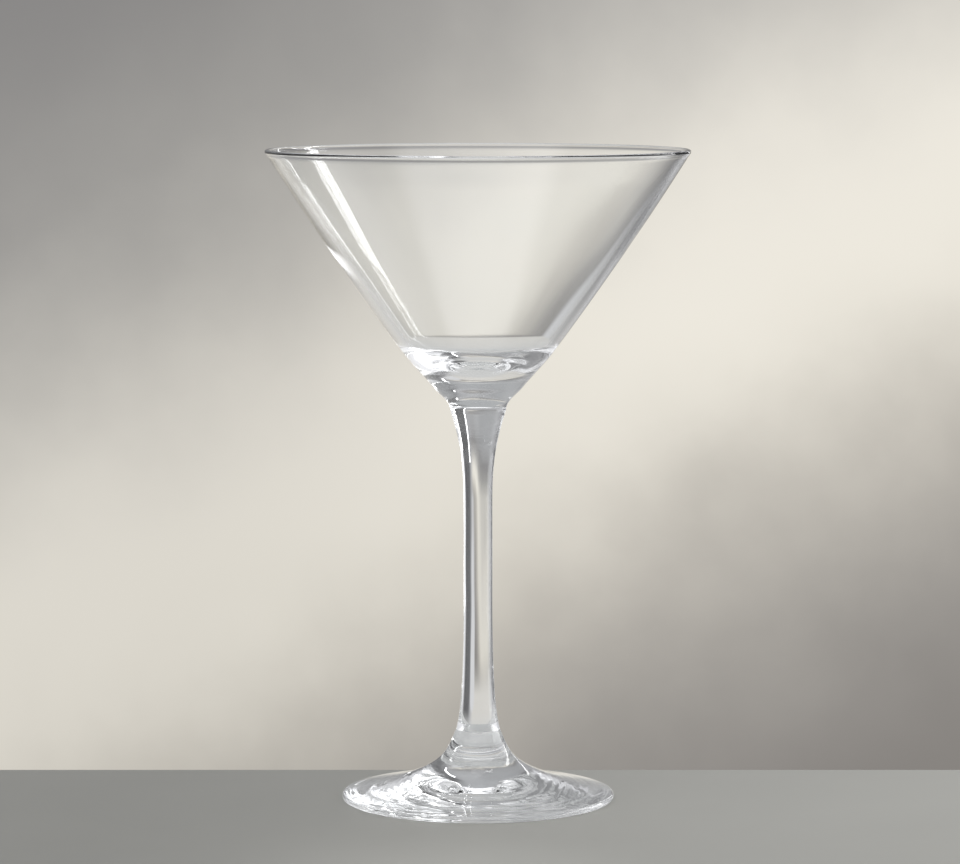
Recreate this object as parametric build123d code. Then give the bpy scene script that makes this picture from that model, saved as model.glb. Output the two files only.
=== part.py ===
from build123d import *

import os

# Stemmed martini glass in clear glass: a blown bowl, a drawn stem and a pressed foot, fused end to end.
#
# Millimetres, +Z up, the origin on the axis at the plane that the foot rests on. Each piece is one closed
# outline in the XZ plane, turned about Z. The pieces meet on flat round seams, where the glass was fused.

# Overall sizes
overall_height = 185.0
rim_diameter = 120.0
foot_diameter = 77.5

# Where the pieces meet: the foot below, the bowl above, and the stem in what is left between them.
# Both pieces at a seam take its diameter, and are as wide as each other where they are fused.
foot_height = 20.0
bowl_height = 73.6
lower_seam_diameter = 12.5  # foot and stem
upper_seam_diameter = 15.9  # stem and bowl

# Bowl, outside
shoulder_diameter = 25.0  # where the hollow curve above the seam turns into the belly
shoulder_rise = 6.2  # of the shoulder above the seam
belly_diameter = 43.6  # where the belly turns into the long wall
belly_rise = 17.0  # of the belly above the seam
wall_bow = 0.6  # how far the long wall bows outwards from a straight line

# Bowl, inside
lip_thickness = 1.4  # the fire-polished bead round the rim
lip_blend = 1.2  # from the bead's centre down to where the plain wall starts
wall_thickness = 1.3  # just under the lip
wall_thickness_low = 2.45  # where the cavity's bottom starts to round
cavity_floor = 12.6  # solid glass between the seam and the lowest point of the cavity
cavity_rise = 7.2  # from that point up to where the bottom runs into the straight wall
cavity_roundness = 0.52  # how far the bottom's curve is drawn out towards its corner

# Stem
stem_diameter = 8.25  # the straight middle
upper_flare = 25.3  # length of the flare under the bowl
lower_flare = 40.0  # length of the flare above the foot

# Foot
flare_diameter = 38.6  # where the flare under the seam runs into the shallow cone
flare_height = 6.9  # of that place above the table
edge_thickness = 2.0  # of the foot at its rounded rim
rest_ring_width = 3.6  # of the flat ring that stands on the table
hollow_height = 3.2  # of the underside's hollow at the axis

# Worked out from the sizes above
stem_bottom_z = foot_height
stem_top_z = overall_height - bowl_height
rim_radius = rim_diameter / 2
foot_radius = foot_diameter / 2
lower_seam_radius = lower_seam_diameter / 2
upper_seam_radius = upper_seam_diameter / 2
stem_radius = stem_diameter / 2


def turned(*edges):
    """The solid that a closed outline in the XZ plane makes when it is turned about Z."""
    face = Face(Wire(list(edges)))
    return revolve(face, axis=Axis.Z, revolution_arc=360)


def at(radius, height):
    """A point of an outline: its distance from the axis and its height above the table."""
    return Vector(radius, 0, height)


def curve(start, start_handle, end_handle, end):
    """A smooth run of outline between two points, drawn out towards its two handles."""
    return Bezier(start, start_handle, end_handle, end)


def bowed(start, end, bow):
    """A long shallow arc from start to end that bows outwards, away from the axis."""
    along = end - start
    outwards = Vector(along.Z, 0, -along.X).normalized()
    return ThreePointArc(start, (start + end) * 0.5 + outwards * bow, end)


def bowl():
    """The bowl: a short solid base, a thick belly, a long wall that thins upwards and a rounded lip."""
    seam = at(upper_seam_radius, stem_top_z)
    shoulder = at(shoulder_diameter / 2, stem_top_z + shoulder_rise)
    belly = at(belly_diameter / 2, stem_top_z + belly_rise)
    bead = at(rim_radius - lip_thickness / 2, overall_height - lip_thickness / 2)

    # Along the wall at its top, and straight out through it
    up = (bead - belly).normalized()
    out = Vector(up.Z, 0, -up.X)

    outer_top = bead - up * lip_blend + out * (wall_thickness / 2)
    inner_top = bead - up * lip_blend - out * (wall_thickness / 2)
    outer_wall = bowed(belly, outer_top, wall_bow)

    # The inner wall starts on a line at its own distance inside the outer one, above the cavity's floor
    cavity_bottom = at(0, stem_top_z + cavity_floor)
    along = (outer_top - belly).normalized()
    under_belly = belly - Vector(along.Z, 0, -along.X) * wall_thickness_low
    inner_start = under_belly + along * ((cavity_bottom.Z + cavity_rise - under_belly.Z) / along.Z)
    inner_bow = wall_bow * ((inner_top - inner_start).length / (outer_top - belly).length) ** 2
    inner_wall = bowed(inner_start, inner_top, inner_bow)
    bead_out = bead + out * (lip_thickness / 2)
    bead_in = bead - out * (lip_thickness / 2)
    half_blend = up * (lip_blend / 2)

    # The outline passes through the shoulder with one slope
    lean = (belly - seam).normalized()
    base_reach = (shoulder - seam).length / 3
    belly_reach = (belly - shoulder).length / 3

    # Where the inner wall would meet the level of the cavity's floor, if it ran on
    corner = inner_start - (inner_wall % 0) * (cavity_rise / (inner_wall % 0).Z)
    return turned(
        Line(at(0, stem_top_z), seam),
        curve(seam, seam + Vector(0, 0, base_reach), shoulder - lean * base_reach, shoulder),
        curve(shoulder, shoulder + lean * belly_reach, belly - (outer_wall % 0) * belly_reach, belly),
        outer_wall,
        curve(outer_top, outer_top + half_blend, bead_out - half_blend, bead_out),
        ThreePointArc(bead_out, bead + up * (lip_thickness / 2), bead_in),
        curve(bead_in, bead_in - half_blend, inner_top + half_blend, inner_top),
        ThreePointArc(inner_top, inner_wall @ 0.5, inner_start),
        curve(
            inner_start,
            inner_start + (corner - inner_start) * cavity_roundness,
            cavity_bottom + (corner - cavity_bottom) * cavity_roundness,
            cavity_bottom,
        ),
        Line(cavity_bottom, at(0, stem_top_z)),
    )


def stem():
    """The drawn stem: a straight middle that flares up to the bowl and down to the foot."""
    top = at(upper_seam_radius, stem_top_z)
    upper = at(stem_radius, stem_top_z - upper_flare)
    bottom = at(lower_seam_radius, stem_bottom_z)
    lower = at(stem_radius, stem_bottom_z + lower_flare)

    top_reach = top.X - stem_radius
    bottom_reach = bottom.X - stem_radius
    return turned(
        Line(at(0, stem_bottom_z), bottom),
        curve(
            bottom,
            bottom + Vector(-0.65 * bottom_reach, 0, 0.13 * lower_flare),
            lower - Vector(0, 0, 0.6 * lower_flare),
            lower,
        ),
        Line(lower, upper),
        curve(
            upper,
            upper + Vector(0, 0, 0.48 * upper_flare),
            top - Vector(0.6 * top_reach, 0, 0.31 * upper_flare),
            top,
        ),
        Line(top, at(0, stem_top_z)),
        Line(at(0, stem_top_z), at(0, stem_bottom_z)),
    )


def foot():
    """The pressed foot: a flare that runs into a shallow cone, a rounded rim and a hollow underside."""
    seam = at(lower_seam_radius, stem_bottom_z)
    flare = at(flare_diameter / 2, flare_height)
    edge_radius = edge_thickness / 2
    edge_centre = at(foot_radius - edge_radius, edge_radius)
    ring_outside = at(edge_centre.X, 0)
    ring_inside = at(edge_centre.X - rest_ring_width, 0)
    hollow_top = at(0, hollow_height)

    drop = stem_bottom_z - flare_height
    spread = flare.X - seam.X
    cone = edge_centre.X - flare.X
    slope = Vector(0.83 * spread, 0, -0.335 * drop)
    edge_top = at(edge_centre.X, edge_thickness)
    return turned(
        Line(hollow_top, at(0, stem_bottom_z)),
        Line(at(0, stem_bottom_z), seam),
        curve(seam, seam + Vector(0.17 * spread, 0, -0.35 * drop), flare - slope, flare),
        curve(flare, flare + slope * 0.55, edge_top + Vector(-0.35 * cone, 0, 0.08 * cone), edge_top),
        ThreePointArc(edge_top, edge_centre + Vector(edge_radius, 0, 0), ring_outside),
        Line(ring_outside, ring_inside),
        curve(
            ring_inside,
            ring_inside + Vector(-0.35 * ring_inside.X, 0, 0.55 * hollow_height),
            hollow_top + Vector(0.4 * ring_inside.X, 0, 0),
            hollow_top,
        ),
    )


if __name__ == "__main__":
    os.makedirs("parts", exist_ok=True)
    for name, piece in {"bowl": bowl(), "stem": stem(), "foot": foot()}.items():
        export_step(piece, f"parts/{name}.step")
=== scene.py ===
import math

import bpy
import numpy as np
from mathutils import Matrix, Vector


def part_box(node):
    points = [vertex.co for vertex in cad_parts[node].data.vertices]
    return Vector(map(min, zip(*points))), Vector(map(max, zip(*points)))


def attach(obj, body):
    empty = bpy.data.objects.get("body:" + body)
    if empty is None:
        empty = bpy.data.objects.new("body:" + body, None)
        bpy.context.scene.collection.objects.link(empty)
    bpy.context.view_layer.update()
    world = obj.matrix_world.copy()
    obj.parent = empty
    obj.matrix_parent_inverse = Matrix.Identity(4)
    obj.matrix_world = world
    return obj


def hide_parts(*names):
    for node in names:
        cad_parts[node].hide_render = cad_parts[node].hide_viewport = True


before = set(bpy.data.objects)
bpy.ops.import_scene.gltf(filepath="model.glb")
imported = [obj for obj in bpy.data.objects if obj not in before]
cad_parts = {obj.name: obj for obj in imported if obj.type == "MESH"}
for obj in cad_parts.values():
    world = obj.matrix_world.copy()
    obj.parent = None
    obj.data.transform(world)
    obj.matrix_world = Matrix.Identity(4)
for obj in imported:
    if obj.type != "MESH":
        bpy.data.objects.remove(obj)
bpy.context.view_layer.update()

bl_info = {
    "name": "Martini Glass",
    "version": (1, 0, 0),
    "blender": (4, 5, 0),
    "location": "View3D > Sidebar > Martini Glass",
    "description": "Builds a stemmed martini glass from its bowl, stem and foot, on a studio table",
    "category": "Add Mesh",
}

# The fixed frame: the box of the whole glass, and those of the two pieces that the stem runs between
BOWL_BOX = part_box("bowl")
FOOT_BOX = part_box("foot")
GLASS_HEIGHT = BOWL_BOX[1].z
RIM_RADIUS = 0.060
FOOT_RADIUS = 0.03875
UPPER_SEAM = BOWL_BOX[0].z
LOWER_SEAM = FOOT_BOX[1].z

MM = 0.001
UPPER_SEAM_RADIUS = 7.95 * MM
LOWER_SEAM_RADIUS = 6.25 * MM
SEGMENTS = 288  # round the axis, in every piece
ON_AXIS = 1e-9  # a point of an outline within this of the axis lies on it
SAME_HEIGHT = 1e-7  # an edge of an outline within this of a seam's height is the seam

CAMERA_PLACE = (0.56 * MM, -1.1576, 0.2214)
CAMERA_DIP = 0.1002  # below level, in radians
CAMERA_LENS = 154.02  # in mm, for a sensor of the width below
SENSOR_WIDTH = 36.0
GLASS_BOUNCES = 48  # light is turned back many times inside the foot before it leaves


# ---------------------------------------------------------------- outlines

def point(radius, height):
    """A point of an outline: distance from the axis and height above the table."""
    return np.array([radius, height])


def bend(start, start_handle, end_handle, end, steps):
    """A smooth run of outline between two points, drawn out towards its two handles."""
    t = np.linspace(0.0, 1.0, steps)[:, None]
    s = 1.0 - t
    return s**3 * start + 3 * s * s * t * start_handle + 3 * s * t * t * end_handle + t**3 * end


def straight(start, end, steps):
    """A straight run of outline."""
    t = np.linspace(0.0, 1.0, steps)[:, None]
    return start + (end - start) * t


def arc(start, middle, end, steps):
    """A circular run of outline through three points."""
    a, b, c = (complex(*p) for p in (start, middle, end))
    w = (c - a) / (b - a)
    if abs(w.imag) < 1e-9:
        return straight(start, end, steps)
    centre = (b - a) * (w - abs(w) ** 2) / (2j * w.imag) + a
    first, mid, last = ((p - centre) for p in (a, b, c))
    sweep = np.angle(last / first)
    half = np.angle(mid / first)
    if sweep * half < 0:
        sweep -= math.copysign(2 * math.pi, sweep)
    turn = np.exp(1j * np.linspace(0.0, sweep, steps)) * first + centre
    return np.column_stack([turn.real, turn.imag])


def chain(*runs):
    """One outline from runs that each start where the one before ends."""
    return np.vstack([runs[0]] + [run[1:] for run in runs[1:]])


def unit(vector):
    """The vector at length one."""
    return vector / np.linalg.norm(vector)


# ---------------------------------------------------------------- glass worked by hand

def waves(angle, height, seed, orders, pitches):
    """Soft unevenness of worked glass, about -1 to 1: a few waves that run round it and along it."""
    draw = np.random.default_rng(seed)
    total = np.zeros(np.broadcast(angle, height).shape)
    for order in orders:
        for pitch in pitches:
            phase = draw.uniform(0.0, 2 * math.pi)
            lean = draw.choice((-1.0, 1.0))
            size = draw.uniform(0.5, 1.0)
            total += size * np.sin(order * angle + lean * 2 * math.pi * height / pitch + phase)
    return total / math.sqrt(len(orders) * len(pitches))


def fade(value, low, high):
    """0 below low, 1 above high, and smooth between them."""
    t = np.clip((value - low) / (high - low), 0.0, 1.0)
    return t * t * (3 - 2 * t)


def outline_normals(outline):
    """Directions straight out of an outline that runs with its glass on the left."""
    along = np.gradient(outline, axis=0)
    along /= np.maximum(np.linalg.norm(along, axis=1), 1e-12)[:, None]
    return np.column_stack([along[:, 1], -along[:, 0]])


def turned_piece(name, outline, seams, uneven):
    """A closed mesh: the outline turned about Z, with its surface moved in or out by uneven(angle, r, z)."""
    angle = np.linspace(0.0, 2 * math.pi, SEGMENTS, endpoint=False)
    radius, height = outline[:, 0][:, None], outline[:, 1][:, None]
    normal = outline_normals(outline)
    shift = uneven(angle[None, :], radius, height)
    r = radius + normal[:, 0][:, None] * shift
    z = height + normal[:, 1][:, None] * shift
    inner = outline[:, 0] > ON_AXIS
    vertices, ring_start = [], []
    for i in range(len(outline)):
        ring_start.append(len(vertices))
        if inner[i]:
            ring = np.column_stack([r[i] * np.cos(angle), r[i] * np.sin(angle), z[i]])
            vertices.extend(ring.tolist())
        else:
            vertices.append([0.0, 0.0, float(height[i, 0])])
    faces, seam_faces = [], []
    count = len(outline)
    for i in range(count - 1):
        a, b = ring_start[i], ring_start[i + 1]
        if not inner[i] and not inner[i + 1]:
            continue
        is_seam = any(np.all(np.abs(outline[i:i + 2, 1] - s) < SAME_HEIGHT) for s in seams)
        for k in range(SEGMENTS):
            n = (k + 1) % SEGMENTS
            if inner[i] and inner[i + 1]:
                faces.append((a + k, a + n, b + n, b + k))
            elif inner[i]:
                faces.append((a + k, a + n, b))
            else:
                faces.append((a, b + n, b + k))
            seam_faces.append(is_seam)
    mesh = bpy.data.meshes.new(name)
    mesh.from_pydata(vertices, [], faces)
    mesh.polygons.foreach_set("use_smooth", [True] * len(faces))
    mesh.polygons.foreach_set("material_index", [int(s) for s in seam_faces])
    edge_use = {}
    for polygon, is_seam in zip(mesh.polygons, seam_faces):
        for key in polygon.edge_keys:
            edge_use.setdefault(key, []).append(is_seam)
    sharp = [len(set(edge_use.get(e.key, [False]))) > 1 for e in mesh.edges]
    attribute = mesh.attributes.new("sharp_edge", "BOOLEAN", "EDGE")
    attribute.data.foreach_set("value", sharp)
    mesh.update()
    mesh.validate()
    piece = bpy.data.objects.new(name, mesh)
    bpy.context.scene.collection.objects.link(piece)
    return piece


# ---------------------------------------------------------------- materials

def new_material(name):
    """An empty node material and its output."""
    material = bpy.data.materials.new(name)
    material.use_nodes = True
    material.node_tree.nodes.clear()
    output = material.node_tree.nodes.new("ShaderNodeOutputMaterial")
    return material, material.node_tree, output


def feed(tree, sockets, values):
    """Gives each socket its value: a number or colour, or the output of another node."""
    for socket, value in zip(sockets, values):
        if isinstance(value, bpy.types.NodeSocket):
            tree.links.new(value, socket)
        else:
            socket.default_value = value


def noise(tree, where, scale, detail):
    """Soft cloudy noise."""
    cloud = tree.nodes.new("ShaderNodeTexNoise")
    feed(tree, [cloud.inputs[name] for name in ("Vector", "Scale", "Detail")], (where, scale, detail))
    return cloud.outputs["Fac"]


def map_range(tree, value, source, target=(0.0, 1.0), easing="LINEAR"):
    """A value carried over from the source range to the target range, and held at its ends."""
    spread = tree.nodes.new("ShaderNodeMapRange")
    spread.interpolation_type = easing
    names = ("Value", "From Min", "From Max", "To Min", "To Max")
    feed(tree, [spread.inputs[name] for name in names], (value, *source, *target))
    return spread.outputs["Result"]


def maths(tree, operation, *values):
    """A sum on numbers and the outputs of other nodes."""
    node = tree.nodes.new("ShaderNodeMath")
    node.operation = operation
    feed(tree, node.inputs, values)
    return node.outputs["Value"]


def blend(tree, factor, under, over):
    """The colour under where the factor is 0, and the colour over where it is 1."""
    mix = tree.nodes.new("ShaderNodeMix")
    mix.data_type = "RGBA"
    feed(tree, [mix.inputs[name] for name in ("Factor", "A", "B")], (factor, under, over))
    return mix.outputs["Result"]


def colour_ramp(tree, value, tones, interpolation="B_SPLINE"):
    """The colour that a value picks from pairs of place and colour."""
    ramp = tree.nodes.new("ShaderNodeValToRGB")
    ramp.color_ramp.interpolation = interpolation
    elements = ramp.color_ramp.elements
    while len(elements) < len(tones):
        elements.new(0.5)
    for element, (place, tone) in zip(elements, tones):
        element.position = place
        element.color = (*tone, 1.0)
    tree.links.new(value, ramp.inputs["Fac"])
    return ramp.outputs["Color"]


def worked_glass_group():
    """Shared look of worked glass: its tint, faint polish marks and fine ripples over the surface."""
    known = bpy.data.node_groups.get("Worked Glass Surface")
    if known:
        return known
    group = bpy.data.node_groups.new("Worked Glass Surface", "ShaderNodeTree")
    face = group.interface
    for name, kind, value in (
        ("Clear Tint", "NodeSocketColor", (1.0, 1.0, 1.0, 1.0)),
        ("Deep Tint", "NodeSocketColor", (0.97, 0.985, 0.98, 1.0)),
        ("Marks Scale", "NodeSocketFloat", 40.0),
        ("Marks Roughness", "NodeSocketFloat", 0.01),
        ("Ripple Scale", "NodeSocketFloat", 120.0),
        ("Ripple Stretch", "NodeSocketVector", (1.0, 1.0, 0.3)),
    ):
        socket = face.new_socket(name=name, in_out="INPUT", socket_type=kind)
        socket.default_value = value
    for name, kind in (("Color", "Color"), ("Roughness", "Float"), ("Height", "Float")):
        face.new_socket(name=name, in_out="OUTPUT", socket_type=f"NodeSocket{kind}")
    nodes, links = group.nodes, group.links
    entry = nodes.new("NodeGroupInput")
    leave = nodes.new("NodeGroupOutput")
    place = nodes.new("ShaderNodeTexCoord")

    # Polish marks: only where the cloud is thickest
    cloud = noise(group, place.outputs["Object"], entry.outputs["Marks Scale"], 3.0)
    marked = map_range(group, cloud, (0.55, 0.8))
    rough = maths(group, "MULTIPLY", marked, entry.outputs["Marks Roughness"])
    links.new(rough, leave.inputs["Roughness"])
    tint = blend(group, cloud, entry.outputs["Clear Tint"], entry.outputs["Deep Tint"])
    links.new(tint, leave.inputs["Color"])

    stretch = nodes.new("ShaderNodeVectorMath")
    stretch.operation = "MULTIPLY"
    feed(group, stretch.inputs, (place.outputs["Object"], entry.outputs["Ripple Stretch"]))
    ripple = noise(group, stretch.outputs["Vector"], entry.outputs["Ripple Scale"], 1.0)
    links.new(ripple, leave.inputs["Height"])
    return group


def glass_material(name, deep_tint, marks, ripple_scale, ripple_height):
    """Clear glass for one piece: the shared surface with this piece's own tint, marks and ripples."""
    refractive_index = 1.52
    shadow_tint = (0.72, 0.725, 0.73)
    material, tree, output = new_material(name)
    surface = tree.nodes.new("ShaderNodeGroup")
    surface.node_tree = worked_glass_group()
    surface.inputs["Deep Tint"].default_value = (*deep_tint, 1.0)
    surface.inputs["Marks Roughness"].default_value = marks
    surface.inputs["Ripple Scale"].default_value = ripple_scale
    bump = tree.nodes.new("ShaderNodeBump")
    bump.inputs["Strength"].default_value = 1.0
    bump.inputs["Distance"].default_value = ripple_height
    glass = tree.nodes.new("ShaderNodeBsdfPrincipled")
    glass.inputs["Metallic"].default_value = 0.0
    glass.inputs["Transmission Weight"].default_value = 1.0
    glass.inputs["IOR"].default_value = refractive_index
    tree.links.new(surface.outputs["Color"], glass.inputs["Base Color"])
    tree.links.new(surface.outputs["Roughness"], glass.inputs["Roughness"])
    tree.links.new(surface.outputs["Height"], bump.inputs["Height"])
    tree.links.new(bump.outputs["Normal"], glass.inputs["Normal"])
    # Shadow rays pass straight through, dimmed, so that the lamps light the table through the glass
    rays = tree.nodes.new("ShaderNodeLightPath")
    through = tree.nodes.new("ShaderNodeBsdfTransparent")
    through.inputs["Color"].default_value = (*shadow_tint, 1.0)
    either = tree.nodes.new("ShaderNodeMixShader")
    tree.links.new(rays.outputs["Is Shadow Ray"], either.inputs["Fac"])
    tree.links.new(glass.outputs["BSDF"], either.inputs[1])
    tree.links.new(through.outputs["BSDF"], either.inputs[2])
    tree.links.new(either.outputs["Shader"], output.inputs["Surface"])
    return material


def seam_material():
    """The melted joint between two pieces: nothing to see, as the glass runs through it."""
    known = bpy.data.materials.get("fused_seam")
    if known:
        return known
    material, tree, output = new_material("fused_seam")
    clear = tree.nodes.new("ShaderNodeBsdfPrincipled")
    clear.inputs["Alpha"].default_value = 0.0
    tree.links.new(clear.outputs["BSDF"], output.inputs["Surface"])
    return material


# ---------------------------------------------------------------- sizes a user would change

def length(name, description, default):
    """A length in metres as a property."""
    return bpy.props.FloatProperty(
        name=name, description=description, default=default, min=0.0, precision=5,
        subtype="DISTANCE", unit="LENGTH")


class GlassBowlSizes(bpy.types.PropertyGroup):
    shoulder_radius: length("Shoulder Radius", "Where the hollow curve turns into the belly", 12.5 * MM)
    shoulder_rise: length("Shoulder Rise", "Height of the shoulder above the seam", 6.2 * MM)
    belly_radius: length("Belly Radius", "Where the belly turns into the long wall", 21.8 * MM)
    belly_rise: length("Belly Rise", "Height of the belly above the seam", 17.0 * MM)
    wall_bow: length("Wall Bow", "How far the long wall bows outwards", 0.6 * MM)
    lip_thickness: length("Lip Thickness", "The polished bead round the rim", 1.4 * MM)
    lip_blend: length("Lip Blend", "From the bead down to the plain wall", 1.2 * MM)
    wall_top: length("Wall at Top", "Wall thickness under the lip", 1.3 * MM)
    wall_low: length("Wall at Bottom", "Wall thickness where the cavity's bottom starts to round", 2.45 * MM)
    cavity_floor: length("Cavity Floor", "Solid glass under the cavity", 12.6 * MM)
    cavity_rise: length("Cavity Rise", "From the cavity's floor up to its straight wall", 7.2 * MM)
    cavity_roundness: bpy.props.FloatProperty(
        name="Cavity Roundness", description="How far the cavity's bottom is drawn out towards its corner",
        default=0.52, min=0.1, max=0.95, subtype="FACTOR")
    unevenness: length("Unevenness", "Height of the waves left by blowing", 0.015 * MM)


class GlassStemSizes(bpy.types.PropertyGroup):
    top_radius: length("Top Radius", "At the bowl", UPPER_SEAM_RADIUS)
    middle_radius: length("Middle Radius", "The straight middle", 4.125 * MM)
    bottom_radius: length("Bottom Radius", "At the foot", LOWER_SEAM_RADIUS)
    upper_flare: length("Upper Flare", "Length of the flare under the bowl", 25.3 * MM)
    lower_flare: length("Lower Flare", "Length of the flare above the foot", 40.0 * MM)
    unevenness: length("Unevenness", "Height of the waves left by drawing", 0.03 * MM)


class GlassFootSizes(bpy.types.PropertyGroup):
    seam_radius: length("Seam Radius", "At the stem", LOWER_SEAM_RADIUS)
    flare_radius: length("Flare Radius", "Where the flare meets the shallow cone", 19.3 * MM)
    flare_height: length("Flare Height", "Of that place above the table", 6.9 * MM)
    edge_thickness: length("Edge Thickness", "At the rounded rim", 2.0 * MM)
    rest_ring: length("Rest Ring", "Width of the flat ring that stands on the table", 3.6 * MM)
    hollow_height: length("Hollow Height", "Of the underside's hollow at the axis", 3.2 * MM)
    unevenness: length("Unevenness", "Height of the rings left by spinning", 0.02 * MM)


class GlassStageLook(bpy.types.PropertyGroup):
    table_colour: bpy.props.FloatVectorProperty(
        name="Table Colour", description="Base colour of the table top", size=3, subtype="COLOR",
        default=(0.360, 0.356, 0.326), min=0.0, max=1.0)
    table_back: length("Table Back", "From the axis to the table's back edge", 43.8 * MM)
    key_radiance: bpy.props.FloatProperty(
        name="Key Brightness", description="Brightness of the main soft light", default=6.0, min=0.0)
    key_azimuth: bpy.props.FloatProperty(
        name="Key Direction", description="Of the main soft light, in degrees to the right of straight back",
        default=50.5, min=-180.0, max=180.0)
    key_width: bpy.props.FloatProperty(
        name="Key Width", description="Of the main soft light, in degrees as the glass sees it",
        default=5.0, min=1.0, max=90.0)
    gathered: bpy.props.FloatProperty(
        name="Gathered Light",
        description="Extra brightness of the table where it is seen through the glass",
        default=0.6, min=0.0)
    table_gap: length("Table Gap", "Thin air gap between the foot and the table top", 0.06 * MM)
    side_radiance: bpy.props.FloatProperty(
        name="Side Brightness", description="Brightness of the white card on the right",
        default=1.5, min=0.0)
    strip_radiance: bpy.props.FloatProperty(
        name="Strip Brightness", description="Brightness of the thin strip beside the wall",
        default=4.0, min=0.0)


# ---------------------------------------------------------------- pieces

def finish_piece(piece, node, material):
    """Gives a piece its glass and its clear seams, and ties it to the frame in place of its CAD node."""
    piece.data.materials.append(material)
    piece.data.materials.append(seam_material())
    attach(piece, "root")
    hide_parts(node)


class GLASS_OT_bowl(bpy.types.Operator):
    """Build the bowl: a short solid base, a thick belly, a thinning wall and a rounded lip"""
    bl_idname = "glass.bowl"
    bl_label = "Bowl"

    def execute(self, context):
        s = context.scene.glass_bowl
        seam = point(UPPER_SEAM_RADIUS, UPPER_SEAM)
        shoulder = point(s.shoulder_radius, UPPER_SEAM + s.shoulder_rise)
        belly = point(s.belly_radius, UPPER_SEAM + s.belly_rise)
        half_lip = s.lip_thickness / 2
        bead = point(RIM_RADIUS - half_lip, GLASS_HEIGHT - half_lip)
        up = unit(bead - belly)
        out = np.array([up[1], -up[0]])
        outer_top = bead - up * s.lip_blend + out * (s.wall_top / 2)
        inner_top = bead - up * s.lip_blend - out * (s.wall_top / 2)
        cavity = point(0.0, UPPER_SEAM + s.cavity_floor)

        along = unit(outer_top - belly)
        outwards = np.array([along[1], -along[0]])
        outer_middle = (belly + outer_top) / 2 + outwards * s.wall_bow
        outer_wall = arc(belly, outer_middle, outer_top, 90)
        under_belly = belly - outwards * s.wall_low
        inner_start = under_belly + along * ((cavity[1] + s.cavity_rise - under_belly[1]) / along[1])
        bow = s.wall_bow * (np.linalg.norm(inner_top - inner_start) / np.linalg.norm(outer_top - belly)) ** 2
        inner_wall = arc(inner_start, (inner_start + inner_top) / 2 + outwards * bow, inner_top, 90)
        outer_slope = unit(outer_wall[1] - outer_wall[0])
        lean = unit(belly - seam)
        inner_slope = unit(inner_wall[1] - inner_wall[0])
        corner = inner_start - inner_slope * (s.cavity_rise / inner_slope[1])
        base_reach = np.linalg.norm(shoulder - seam) / 3
        belly_reach = np.linalg.norm(belly - shoulder) / 3
        half_blend = up * (s.lip_blend / 2)
        bead_out = bead + out * half_lip
        bead_in = bead - out * half_lip
        outer_side = chain(
            straight(point(0.0, UPPER_SEAM), seam, 3),
            bend(seam, seam + point(0.0, base_reach), shoulder - lean * base_reach, shoulder, 20),
            bend(shoulder, shoulder + lean * belly_reach, belly - outer_slope * belly_reach, belly, 24),
            outer_wall,
            bend(outer_top, outer_top + half_blend, bead_out - half_blend, bead_out, 8),
        )
        lip = arc(bead_out, bead + up * half_lip, bead_in, 17)
        outline = chain(
            outer_side,
            lip,
            bend(bead_in, bead_in - half_blend, inner_top + half_blend, inner_top, 8),
            inner_wall[::-1],
            bend(inner_start, inner_start + (corner - inner_start) * s.cavity_roundness,
                 cavity + (corner - cavity) * s.cavity_roundness, cavity, 60),
        )
        first_inner = len(outer_side) + len(lip) // 2

        def uneven(angle, radius, height):
            outside = waves(angle, height, seed=3, orders=(2, 3, 5, 8), pitches=(40 * MM, 90 * MM))
            inside = waves(angle, height, seed=7, orders=(2, 4, 7, 9), pitches=(30 * MM, 70 * MM))
            row = np.arange(len(radius))[:, None]
            mix = np.where(row < first_inner, outside, inside)
            calm_lip = 1 - fade(height, GLASS_HEIGHT - 9 * MM, GLASS_HEIGHT - 3 * MM)
            calm_seam = fade(height, UPPER_SEAM, UPPER_SEAM + 4 * MM)
            calm_axis = fade(radius, 0.0, 6 * MM)
            return -s.unevenness * (1 + mix) * calm_lip * calm_seam * calm_axis

        piece = turned_piece("bowl_glass", outline, (UPPER_SEAM,), uneven)
        look = glass_material("bowl_clear_glass", deep_tint=(0.975, 0.988, 0.994), marks=0.02,
                              ripple_scale=60.0, ripple_height=0.004 * MM)
        finish_piece(piece, "bowl", look)
        return {"FINISHED"}


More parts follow.
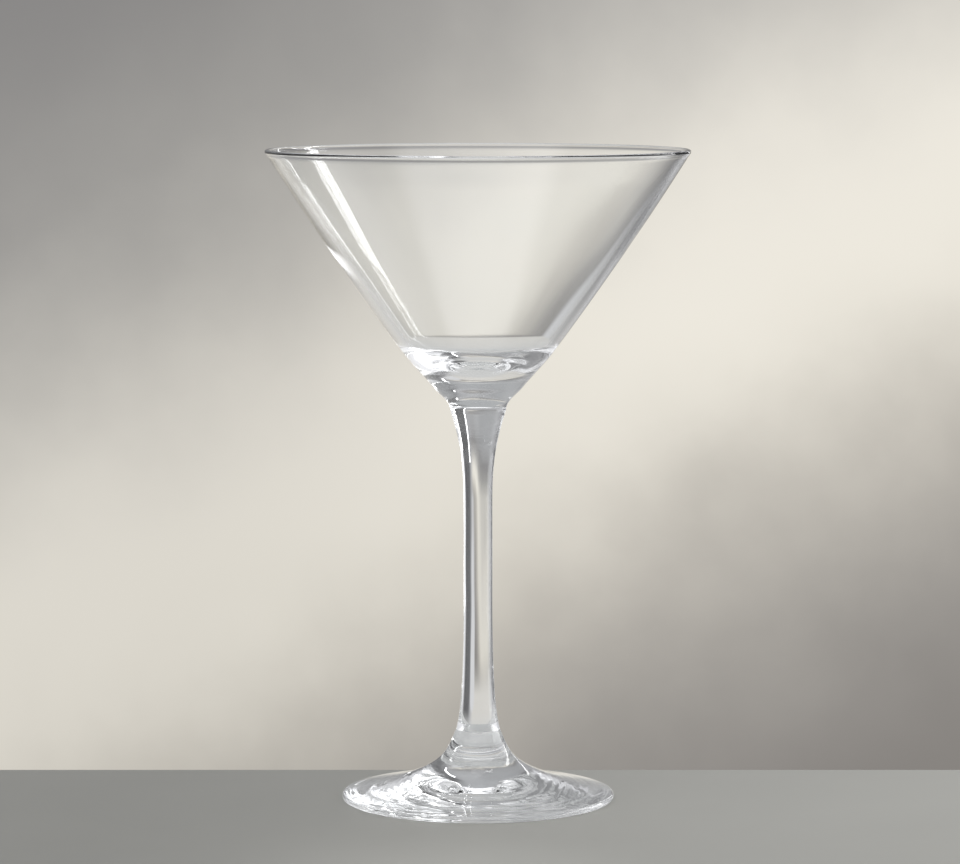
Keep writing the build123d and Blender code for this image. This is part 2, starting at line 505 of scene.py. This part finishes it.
class GLASS_OT_stem(bpy.types.Operator):
    """Build the drawn stem: a straight middle that flares to the bowl and to the foot"""
    bl_idname = "glass.stem"
    bl_label = "Stem"

    def execute(self, context):
        s = context.scene.glass_stem
        top = point(s.top_radius, UPPER_SEAM)
        upper = point(s.middle_radius, UPPER_SEAM - s.upper_flare)
        bottom = point(s.bottom_radius, LOWER_SEAM)
        lower = point(s.middle_radius, LOWER_SEAM + s.lower_flare)
        top_reach = s.top_radius - s.middle_radius
        bottom_reach = s.bottom_radius - s.middle_radius
        outline = chain(
            straight(point(0.0, LOWER_SEAM), bottom, 3),
            bend(bottom, bottom + point(-0.65 * bottom_reach, 0.13 * s.lower_flare),
                 lower - point(0.0, 0.6 * s.lower_flare), lower, 60),
            straight(lower, upper, 30),
            bend(upper, upper + point(0.0, 0.48 * s.upper_flare),
                 top - point(0.6 * top_reach, 0.31 * s.upper_flare), top, 60),
            straight(top, point(0.0, UPPER_SEAM), 3),
        )

        def uneven(angle, radius, height):
            drawn = waves(angle, height, seed=11, orders=(1, 2, 3, 5), pitches=(25 * MM, 60 * MM))
            calm_top = 1 - fade(height, UPPER_SEAM - 4 * MM, UPPER_SEAM)
            calm_bottom = fade(height, LOWER_SEAM, LOWER_SEAM + 4 * MM)
            return -s.unevenness * (1 + drawn) * calm_top * calm_bottom

        piece = turned_piece("stem_glass", outline, (UPPER_SEAM, LOWER_SEAM), uneven)
        look = glass_material("stem_clear_glass", deep_tint=(0.965, 0.982, 0.990), marks=0.02,
                              ripple_scale=90.0, ripple_height=0.006 * MM)
        finish_piece(piece, "stem", look)
        return {"FINISHED"}


class GLASS_OT_foot(bpy.types.Operator):
    """Build the foot: a flare, a shallow cone, a rounded rim and a slightly hollow underside"""
    bl_idname = "glass.foot"
    bl_label = "Foot"

    def execute(self, context):
        s = context.scene.glass_foot
        seam = point(s.seam_radius, LOWER_SEAM)
        flare = point(s.flare_radius, s.flare_height)
        edge_radius = s.edge_thickness / 2
        edge = point(FOOT_RADIUS - edge_radius, edge_radius)
        edge_top = point(edge[0], s.edge_thickness)
        ring_out = point(edge[0], 0.0)
        ring_in = point(edge[0] - s.rest_ring, 0.0)
        hollow = point(0.0, s.hollow_height)
        drop = LOWER_SEAM - s.flare_height
        spread = flare[0] - seam[0]
        cone = edge[0] - flare[0]
        slope = point(0.83 * spread, -0.335 * drop)
        outline = chain(
            bend(hollow, hollow + point(0.4 * ring_in[0], 0.0),
                 ring_in + point(-0.35 * ring_in[0], 0.55 * s.hollow_height), ring_in, 60),
            straight(ring_in, ring_out, 4),
            arc(ring_out, edge + point(edge_radius, 0.0), edge_top, 17),
            bend(edge_top, edge_top + point(-0.35 * cone, 0.08 * cone), flare + slope * 0.55, flare, 50),
            bend(flare, flare - slope, seam + point(0.17 * spread, -0.35 * drop), seam, 60),
            straight(seam, point(0.0, LOWER_SEAM), 3),
        )

        def uneven(angle, radius, height):
            spun = waves(angle, radius, seed=17, orders=(0, 1, 2, 3),
                         pitches=(2.2 * MM, 5 * MM, 11 * MM))
            calm_edge = 1 - fade(radius, 31 * MM, 34 * MM)
            calm_seam = 1 - fade(height, LOWER_SEAM - 2 * MM, LOWER_SEAM)
            calm_axis = fade(radius, 0.0, 2 * MM)
            return -s.unevenness * (1 + spun) * calm_edge * calm_seam * calm_axis

        piece = turned_piece("foot_glass", outline, (LOWER_SEAM,), uneven)
        look = glass_material("foot_clear_glass", deep_tint=(0.965, 0.982, 0.990), marks=0.03,
                              ripple_scale=120.0, ripple_height=0.010 * MM)
        finish_piece(piece, "foot", look)
        return {"FINISHED"}


# ---------------------------------------------------------------- stage

def direction(azimuth, elevation):
    """A direction from degrees to the right of straight back, and degrees above level."""
    a, e = math.radians(azimuth), math.radians(elevation)
    return Vector((math.sin(a) * math.cos(e), math.cos(a) * math.cos(e), math.sin(e)))


def backdrop_world():
    """A softly mottled studio wall, with one broad slanting band of light across it."""
    world = bpy.data.worlds.new("studio_wall")
    bpy.context.scene.world = world
    world.use_nodes = True
    tree = world.node_tree
    tree.nodes.clear()
    nodes, links = tree.nodes, tree.links
    place = nodes.new("ShaderNodeTexCoord")
    split = nodes.new("ShaderNodeSeparateXYZ")
    links.new(place.outputs["Generated"], split.inputs["Vector"])
    x, y, z = (split.outputs[name] for name in "XYZ")

    # The band slants with x, and levels out about 14 degrees to either side
    level = map_range(tree, x, (-0.24, 0.24), (-0.128, 0.128), "SMOOTHERSTEP")
    slant = maths(tree, "MULTIPLY", level, 0.489)
    across = maths(tree, "MULTIPLY_ADD", z, -0.872, slant)
    cloud = noise(tree, place.outputs["Generated"], 26.0, 5.0)
    sway = map_range(tree, cloud, (0.25, 0.75), (-0.008, 0.008))
    moved = maths(tree, "ADD", across, sway)
    band = map_range(tree, moved, (-0.335, 0.215))
    lit_wall = colour_ramp(tree, band, (
        (0.00, (0.400, 0.405, 0.415)),
        (0.30, (0.400, 0.403, 0.410)),
        (0.45, (0.285, 0.280, 0.280)),
        (0.50, (0.262, 0.255, 0.253)),
        (0.60, (0.370, 0.360, 0.345)),
        (0.665, (0.560, 0.540, 0.500)),
        (0.73, (0.820, 0.785, 0.710)),
        (0.79, (0.800, 0.765, 0.685)),
        (0.84, (0.560, 0.530, 0.475)),
        (0.89, (0.370, 0.350, 0.322)),
        (0.94, (0.265, 0.250, 0.235)),
        (1.00, (0.215, 0.202, 0.188)),
    ))

    # The band dims towards the left
    along = map_range(tree, x, (-0.08, 0.06), (0.89, 1.06), "SMOOTHSTEP")
    dimmed = nodes.new("ShaderNodeVectorMath")
    dimmed.operation = "SCALE"
    links.new(lit_wall, dimmed.inputs[0])
    links.new(along, dimmed.inputs["Scale"])

    # Round the rest of the room by compass direction: dark on the left and just past the wall's right
    # side, bright further right, and grey elsewhere
    turn = map_range(tree, maths(tree, "ARCTAN2", x, y), (-math.pi, math.pi))
    room = colour_ramp(tree, turn, [
        ((azimuth + 180) / 360, (tone, tone, tone * 1.03)) for azimuth, tone in (
            (-180, 0.60), (-160, 0.62), (-138, 0.85), (-118, 0.70), (-106, 0.30), (-95, 0.18), (-78, 0.18),
            (-60, 0.22), (-46, 0.28), (-33, 0.50), (-15, 0.45), (10, 0.42), (19, 0.38), (25, 0.12),
            (43, 0.09), (49, 0.40), (57, 0.95), (105, 0.95), (135, 0.80), (160, 0.62), (180, 0.60))
    ], "LINEAR")
    black, white = (0.0, 0.0, 0.0), (1.0, 1.0, 1.0)
    wall = colour_ramp(tree, turn, ((0.36, black), (0.43, white), (0.53, white), (0.56, black)), "EASE")
    # Under the level of the table the wall is evenly lit
    low = map_range(tree, z, (-0.185, -0.245), easing="SMOOTHSTEP")
    back = blend(tree, low, dimmed.outputs["Vector"], (0.66, 0.64, 0.60, 1.0))
    whole = blend(tree, wall, room, back)
    # Overhead it turns into a mid-grey ceiling, and far below the table into a paler floor
    rise = map_range(tree, z, (-1.0, 1.0))
    height = colour_ramp(tree, rise, ((0.22, white), (0.36, black), (0.78, black), (0.92, white)), "EASE")
    ends = colour_ramp(tree, rise, ((0.45, (0.60, 0.60, 0.59)), (0.55, (0.40, 0.41, 0.42))), "EASE")
    lit = blend(tree, height, whole, ends)

    # A broad soft glow high up in front, and a small one low down past the wall's right side
    for azimuth, elevation, radius, edge, tone in ((180, 57, 28, 16, 1.35), (15, -12, 4.0, 3.4, 0.66)):
        near = nodes.new("ShaderNodeVectorMath")
        near.operation = "DOT_PRODUCT"
        feed(tree, near.inputs, (place.outputs["Generated"], direction(azimuth, elevation)))
        reach = [math.cos(math.radians(angle)) for angle in (radius + edge, radius)]
        glow = map_range(tree, near.outputs["Value"], reach, easing="SMOOTHSTEP")
        lit = blend(tree, glow, lit, (tone, tone, tone * 1.015, 1.0))
    light = nodes.new("ShaderNodeBackground")
    links.new(lit, light.inputs["Color"])
    output = nodes.new("ShaderNodeOutputWorld")
    links.new(light.outputs["Background"], output.inputs["Surface"])


def table_material(colour, gathered):
    """Honed stone: soft clouds, painted light that makes the right side paler than the left, a painted
    bright spot of light in front of the foot and a low sheen.
    """
    material, tree, output = new_material("table_stone")
    nodes, links = tree.nodes, tree.links
    place = nodes.new("ShaderNodeTexCoord")
    cloud = noise(tree, place.outputs["Object"], 14.0, 6.0)
    split = nodes.new("ShaderNodeSeparateXYZ")
    links.new(place.outputs["Object"], split.inputs["Vector"])
    # Painted light: the stone is painted paler towards the right, the side the main soft light comes from
    side = map_range(tree, split.outputs["X"], (-0.12, 0.07), (0.0, 0.7), "SMOOTHSTEP")
    clouds_and_lit_side = maths(tree, "MULTIPLY_ADD", cloud, 0.3, side)
    # Painted light: a paler round spot in front of the foot, as if light pooled there
    away = nodes.new("ShaderNodeVectorMath")
    away.operation = "DISTANCE"
    feed(tree, away.inputs, (place.outputs["Object"], (-0.01, -0.11, 0.0)))
    painted_light_pool = map_range(tree, away.outputs["Value"], (0.0, 0.07), (0.7, 0.0), "SMOOTHSTEP")
    # Soft clouds, the painted light on the right and the painted spot of light in front together set how
    # pale the stone is
    pale = maths(tree, "ADD", clouds_and_lit_side, painted_light_pool)
    darkest = (*[c * 0.80 for c in colour], 1.0)
    palest = (*[min(1.0, c * 1.20) for c in colour], 1.0)
    tone = blend(tree, pale, darkest, palest)
    tone.node.clamp_factor = False
    stone = nodes.new("ShaderNodeBsdfPrincipled")
    stone.inputs["Roughness"].default_value = 0.5
    links.new(tone, stone.inputs["Base Color"])
    # Brighter where it is seen through or in the glass, which gathers the light on it
    rays = nodes.new("ShaderNodeLightPath")
    seen = maths(tree, "MAXIMUM", rays.outputs["Is Transmission Ray"], rays.outputs["Is Glossy Ray"])
    gain = maths(tree, "MULTIPLY", seen, gathered)
    stone.inputs["Emission Color"].default_value = (0.40, 0.41, 0.43, 1.0)
    links.new(gain, stone.inputs["Emission Strength"])
    links.new(stone.outputs["BSDF"], output.inputs["Surface"])
    return material


def soft_light(name, azimuth, elevation, distance, wide, high, radiance, colour=(1.0, 1.0, 1.0)):
    """A rectangular soft light that faces the glass. Its place and its two sizes are angles in degrees."""
    data = bpy.data.lights.new(name, "AREA")
    data.shape = "RECTANGLE"
    data.size = 2 * distance * math.tan(math.radians(wide) / 2)
    data.size_y = 2 * distance * math.tan(math.radians(high) / 2)
    data.color = colour
    data.energy = radiance * math.pi * data.size * data.size_y
    lamp = bpy.data.objects.new(name, data)
    aim = Vector((0.0, 0.0, 0.1))
    lamp.location = aim + direction(azimuth, elevation) * distance
    lamp.rotation_euler = (aim - lamp.location).to_track_quat("-Z", "Y").to_euler()
    lamp.visible_camera = False
    bpy.context.scene.collection.objects.link(lamp)


class GLASS_OT_stage(bpy.types.Operator):
    """Set the table, the studio wall, the soft lights and the camera"""
    bl_idname = "glass.stage"
    bl_label = "Stage"

    def execute(self, context):
        look = context.scene.glass_stage
        half_width, depth, thick = 0.7, 0.9, 0.03
        back = look.table_back
        mesh = bpy.data.meshes.new("table_top")
        corners = [(x, y, z) for z in (-thick, -look.table_gap) for y in (back - depth, back)
                   for x in (-half_width, half_width)]
        faces = [(0, 2, 3, 1), (4, 5, 7, 6), (0, 1, 5, 4), (2, 6, 7, 3), (0, 4, 6, 2), (1, 3, 7, 5)]
        mesh.from_pydata(corners, [], faces)
        mesh.update()
        table = bpy.data.objects.new("table_top", mesh)
        bpy.context.scene.collection.objects.link(table)
        table.data.materials.append(table_material(look.table_colour, look.gathered))
        backdrop_world()
        soft_light("key_softbox", azimuth=look.key_azimuth, elevation=27.0, distance=1.4,
                   wide=look.key_width, high=36.0, radiance=look.key_radiance)
        soft_light("side_card", azimuth=80.0, elevation=0.0, distance=0.36,
                   wide=50.0, high=32.0, radiance=look.side_radiance, colour=(0.97, 0.985, 1.0))
        soft_light("thin_strip", azimuth=21.0, elevation=14.0, distance=1.6,
                   wide=1.6, high=26.0, radiance=look.strip_radiance)

        camera_data = bpy.data.cameras.new("camera")
        camera_data.sensor_width = SENSOR_WIDTH
        camera_data.lens = CAMERA_LENS
        camera_data.clip_end = 100.0
        camera = bpy.data.objects.new("camera", camera_data)
        camera.location = CAMERA_PLACE
        camera.rotation_euler = (math.pi / 2 - CAMERA_DIP, 0.0, 0.0)
        bpy.context.scene.collection.objects.link(camera)
        scene = bpy.context.scene
        scene.camera = camera
        scene.view_settings.view_transform = "Standard"
        scene.view_settings.look = "None"
        scene.cycles.max_bounces = GLASS_BOUNCES
        scene.cycles.transmission_bounces = GLASS_BOUNCES
        scene.cycles.glossy_bounces = GLASS_BOUNCES
        scene.cycles.diffuse_bounces = 4
        scene.cycles.transparent_max_bounces = 24
        scene.cycles.use_denoising = True
        return {"FINISHED"}


class GLASS_PT_panel(bpy.types.Panel):
    """Buttons and sizes for the martini glass"""
    bl_idname = "GLASS_PT_panel"
    bl_label = "Martini Glass"
    bl_space_type = "VIEW_3D"
    bl_region_type = "UI"
    bl_category = "Martini Glass"

    def draw(self, context):
        for operator, group in (("bowl", "glass_bowl"), ("stem", "glass_stem"),
                                ("foot", "glass_foot"), ("stage", "glass_stage")):
            box = self.layout.box()
            box.operator(f"glass.{operator}")
            sizes = getattr(context.scene, group)
            for name in sizes.__annotations__:
                box.prop(sizes, name)


GROUPS = {
    "glass_bowl": GlassBowlSizes,
    "glass_stem": GlassStemSizes,
    "glass_foot": GlassFootSizes,
    "glass_stage": GlassStageLook,
}
CLASSES = (*GROUPS.values(), GLASS_OT_bowl, GLASS_OT_stem, GLASS_OT_foot, GLASS_OT_stage, GLASS_PT_panel)


def register():
    for cls in CLASSES:
        bpy.utils.register_class(cls)
    for name, cls in GROUPS.items():
        setattr(bpy.types.Scene, name, bpy.props.PointerProperty(type=cls))


def unregister():
    for name in GROUPS:
        delattr(bpy.types.Scene, name)
    for cls in reversed(CLASSES):
        bpy.utils.unregister_class(cls)


def main():
    register()
    bpy.ops.glass.stage()
    bpy.ops.glass.foot()
    bpy.ops.glass.stem()
    bpy.ops.glass.bowl()


if __name__ == "__main__":
    main()
